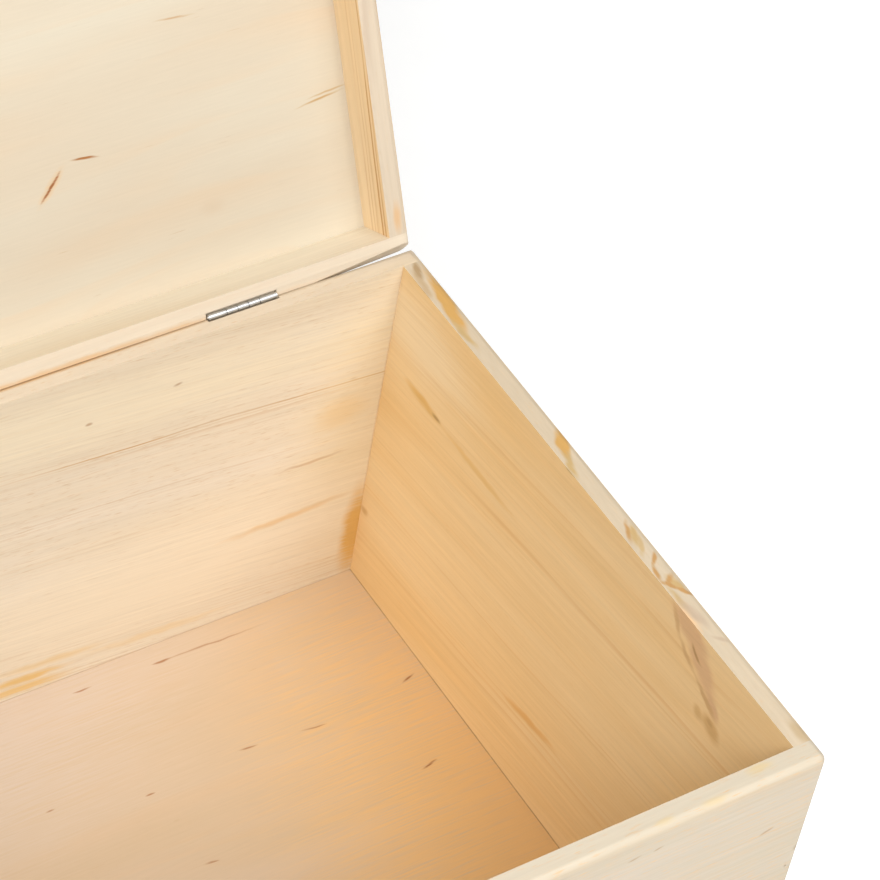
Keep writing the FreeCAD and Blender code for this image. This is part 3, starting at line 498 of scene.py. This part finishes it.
# Brads
# Short lengths of bright drawn wire with no head, set just below the wood. They are the CAD pins themselves,
# in a dull grey steel: drawing leaves it half bright, with faint marks that are drawn 0.3 mm apart to show.
DRAW_MARK = 0.3 * MM
brad_steel = bpy.data.materials.new("drawn_wire_steel")
brad_steel.use_nodes = True
tree = brad_steel.node_tree
tree.nodes.clear()
coordinates = add(tree, "TexCoord")
wire = add(tree, "Mapping", coordinates.outputs["Object"], IN_PLACE, (0, 0, 0), [1 / DRAW_MARK] * 3)
draw_marks = add(tree, "TexNoise", wire, 1.0, 2.0)
wire_colour = add(tree, "Mix", draw_marks, linear("#8D8A84"), linear("#B4B1AA"), data_type="RGBA")
wire_rough = add(tree, "MapRange", draw_marks, 0.3, 0.7, 0.35, 0.55)
shader = add(tree, "BsdfPrincipled", named={
    "Base Color": wire_colour, "Metallic": 1.0, "Roughness": wire_rough})
add(tree, "OutputMaterial", shader)
for node in ("front_corner_brads", "rear_corner_brads", "floor_brads", "lid_corner_brads", "lid_panel_brads"):
    brads = frame["nodes"][node]
    brads.data.materials.clear()
    brads.data.materials.append(brad_steel)

# Hinges
# Two small butt hinges of zinc plated sheet steel, each with a leaf screwed to the back of the box, a leaf on
# the lid and a pin through their rolled knuckles. Plating leaves a pale, satin grey with soft highlights.
LEAF_EDGE = 0.12 * MM
SCREW_EDGE = 0.08 * MM
zinc = bpy.data.materials.new("zinc_plated_steel")
zinc.use_nodes = True
tree = zinc.node_tree
tree.nodes.clear()
coordinates = add(tree, "TexCoord")
sheet = add(tree, "Mapping", coordinates.outputs["Object"], IN_PLACE, (0, 0, 0), [1 / MM] * 3)
# Rolling marks along the barrel, a tenth of a millimetre apart on the real sheet, drawn at 0.4 mm
rolled = add(tree, "Mapping", sheet, IN_PLACE, (0, 0, 0), (0.12, 2.5, 2.5))
rolled = add(tree, "TexNoise", rolled, 1.0, 2.0)
bloom = add(tree, "TexNoise", sheet, 0.35, 2.0)
zinc_colour = add(tree, "Mix", bloom, linear("#C8C9CA"), linear("#E0E0DE"), data_type="RGBA")
zinc_rough = add(tree, "MapRange", rolled, 0.3, 0.7, 0.3, 0.45)
bump = add(tree, "Bump", named={"Strength": 0.2, "Distance": 0.03 * MM, "Height": rolled})
shader = add(tree, "BsdfPrincipled", named={
    "Base Color": zinc_colour, "Metallic": 1.0, "Roughness": zinc_rough, "Normal": bump})
add(tree, "OutputMaterial", shader)
for node, width, body in (
        ("right_hinge_box_leaf", LEAF_EDGE, "box"), ("left_hinge_box_leaf", LEAF_EDGE, "box"),
        ("right_hinge_lid_leaf", LEAF_EDGE, "lid"), ("left_hinge_lid_leaf", LEAF_EDGE, "lid"),
        ("box_hinge_screws", SCREW_EDGE, "box"), ("lid_hinge_screws", SCREW_EDGE, "lid")):
    metal = dressed(node, width)
    metal.data.materials.append(zinc)
    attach(metal, body)
for node in ("right_hinge_pin", "left_hinge_pin"):
    pin = frame["nodes"][node]
    pin.data.materials.clear()
    pin.data.materials.append(zinc)

# Studio
# A plain near-white floor, four soft lights round the front and an even white surround. The camera looks
# down into the right rear corner from over the front left, with a long lens and a slight roll.
PAPER_SIZE = 12.0
PAPER_GLOW = 0.18
FLEECE_PER_METRE = 40.0
bpy.ops.object.select_all(action="DESELECT")
bpy.ops.mesh.primitive_plane_add(size=PAPER_SIZE, location=(0, 0, 0))
floor = bpy.context.object
floor.name = "studio_floor"
# Matt white paper, which glows a little so that it stays as white as the surround
paper = bpy.data.materials.new("white_paper_floor")
paper.use_nodes = True
tree = paper.node_tree
tree.nodes.clear()
coordinates = add(tree, "TexCoord")
fleece = add(tree, "TexNoise", coordinates.outputs["Object"], FLEECE_PER_METRE, 2.0)
paper_colour = add(tree, "Mix", fleece, linear("#F6F6F5"), linear("#FBFBFA"), data_type="RGBA")
shader = add(tree, "BsdfPrincipled", named={
    "Base Color": paper_colour, "Roughness": 0.9, "Emission Color": (1, 1, 1, 1),
    "Emission Strength": PAPER_GLOW})
add(tree, "OutputMaterial", shader)
floor.data.materials.append(paper)

SURROUND_STRENGTH = 0.17
world = bpy.data.worlds.new("white_surround")
bpy.context.scene.world = world
world.use_nodes = True
tree = world.node_tree
tree.nodes.clear()
surround = add(tree, "Background", (1, 1, 1, 1), SURROUND_STRENGTH)
add(tree, "OutputWorld", surround)

# Each soft light stands at degrees to the right of the front and degrees up, and shines on the box
AIM = Vector((0.05, 0.0, 0.15))
SOFTBOX_DISTANCE, SOFTBOX_SIZE = 2.4, 1.3
for name, right_of_front, height, watts in (
        ("side_softbox", -95, 50, 10.0), ("left_softbox", -47, 48, 38.0), ("front_softbox", 0, 38, 31.5),
        ("right_softbox", 35, 65, 26.5)):
    turn = Euler((-math.radians(height), 0, math.radians(right_of_front)))
    towards = turn.to_matrix() @ Vector((0, -1, 0))
    lamp = bpy.data.lights.new(name, "AREA")
    lamp.size = SOFTBOX_SIZE
    lamp.energy = watts
    softbox = bpy.data.objects.new(name, lamp)
    softbox.location = AIM + SOFTBOX_DISTANCE * towards
    softbox.rotation_euler = (-towards).to_track_quat("-Z", "Y").to_euler()
    bpy.context.scene.collection.objects.link(softbox)

CAMERA_PLACE = (-0.52724, -0.75723, 1.30317)
CAMERA_RIGHT = (0.84017885, -0.52583843, 0.13264031)
CAMERA_UP = (0.31001388, 0.6663849, 0.67810218)
CAMERA_BACK = (-0.44496168, -0.52860677, 0.72289971)
lens = bpy.data.cameras.new("photo_camera")
lens.sensor_width = 36.0
lens.lens = 155.98
lens.clip_start = 0.05
camera = bpy.data.objects.new("photo_camera", lens)
camera.location = CAMERA_PLACE
camera.rotation_euler = Matrix((CAMERA_RIGHT, CAMERA_UP, CAMERA_BACK)).transposed().to_euler()
bpy.context.scene.collection.objects.link(camera)
bpy.context.scene.camera = camera
bpy.context.scene.view_settings.view_transform = "Standard"
